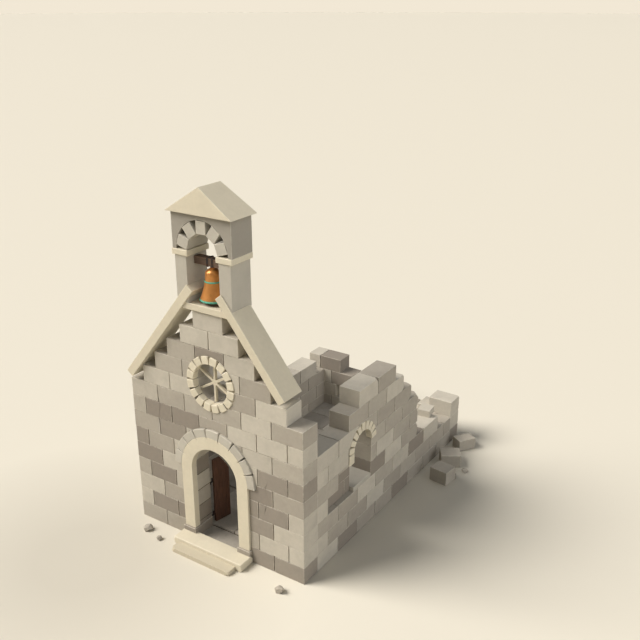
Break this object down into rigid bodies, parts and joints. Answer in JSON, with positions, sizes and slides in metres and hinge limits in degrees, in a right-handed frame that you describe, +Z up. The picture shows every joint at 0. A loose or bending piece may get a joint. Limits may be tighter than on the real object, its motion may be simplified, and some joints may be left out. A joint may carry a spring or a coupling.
{
  "type": "ruined stone chapel",
  "caption": "Roofless stone chapel with a stepped gable front, arched doorway with a door leaf, rose window, a bellcote with a swinging bell, and broken nave walls.",
  "frame": {"origin": "on the ground at the middle of the plan, halfway between the outer faces of the front and back walls", "axes": "+Z up, -Y out through the doorway, +X to the right of someone facing the front"},
  "size_m": [4.9668, 7.191, 7.12],
  "materials": {
    "wall_stone": "matte",
    "weathered_stone": "matte",
    "dressed_stone": "matte",
    "oak": "matte",
    "wrought_iron": "matte",
    "bronze": "satin",
    "verdigris": "matte"
  },
  "bodies": {
    "chapel": {"floor_slab": "weathered_stone", "threshold": "weathered_stone", "front_wall_left": "wall_stone", "front_wall_right": "wall_stone", "front_wall_over_door": "wall_stone", "gable_wall": "wall_stone", "portal_surround": "dressed_stone", "portal_hood": "wall_stone", "portal_plinths": "weathered_stone", "upper_step": "dressed_stone", "lower_step": "dressed_stone", "rose_ring": "dressed_stone", "rose_tracery": "dressed_stone", "coping_left": "dressed_stone", "coping_right": "dressed_stone", "bell_sill": "dressed_stone", "bell_pier_left": "wall_stone", "bell_pier_right": "wall_stone", "imposts": "dressed_stone", "bell_arch_stones": "wall_stone", "bell_head": "weathered_stone", "bell_roof": "dressed_stone", "door_pintles": "wrought_iron", "right_wall_front": "wall_stone", "right_wall_under_window": "wall_stone", "right_wall_over_window": "wall_stone", "right_wall_middle": "wall_stone", "right_wall_back": "wall_stone", "left_wall_front": "wall_stone", "left_wall_under_window": "wall_stone", "left_wall_over_window": "wall_stone", "left_wall_back": "wall_stone", "window_rings": "dressed_stone", "window_sills": "dressed_stone", "back_wall": "wall_stone", "loose_blocks": "wall_stone", "fallen_blocks": "weathered_stone"},
    "door": {"door_leaf": "oak", "door_ledges": "oak", "door_straps": "wrought_iron"},
    "bell": {"headstock": "oak", "headstock_ironwork": "wrought_iron", "bell": "bronze", "bell_bands": "verdigris", "clapper": "wrought_iron"}
  },
  "joints": [
    {"name": "door_hinge", "type": "hinge", "parent": "chapel", "child": "door", "pos_m": [-0.537, -2.794, 0.8], "axis": [0, 0, 1], "range_deg": [-79, 31]},
    {"name": "bell_swing", "type": "hinge", "parent": "chapel", "child": "bell", "pos_m": [0, -3.0755, 5.7707], "axis": [1, 0, 0], "range_deg": [-38, 38]}
  ]
}
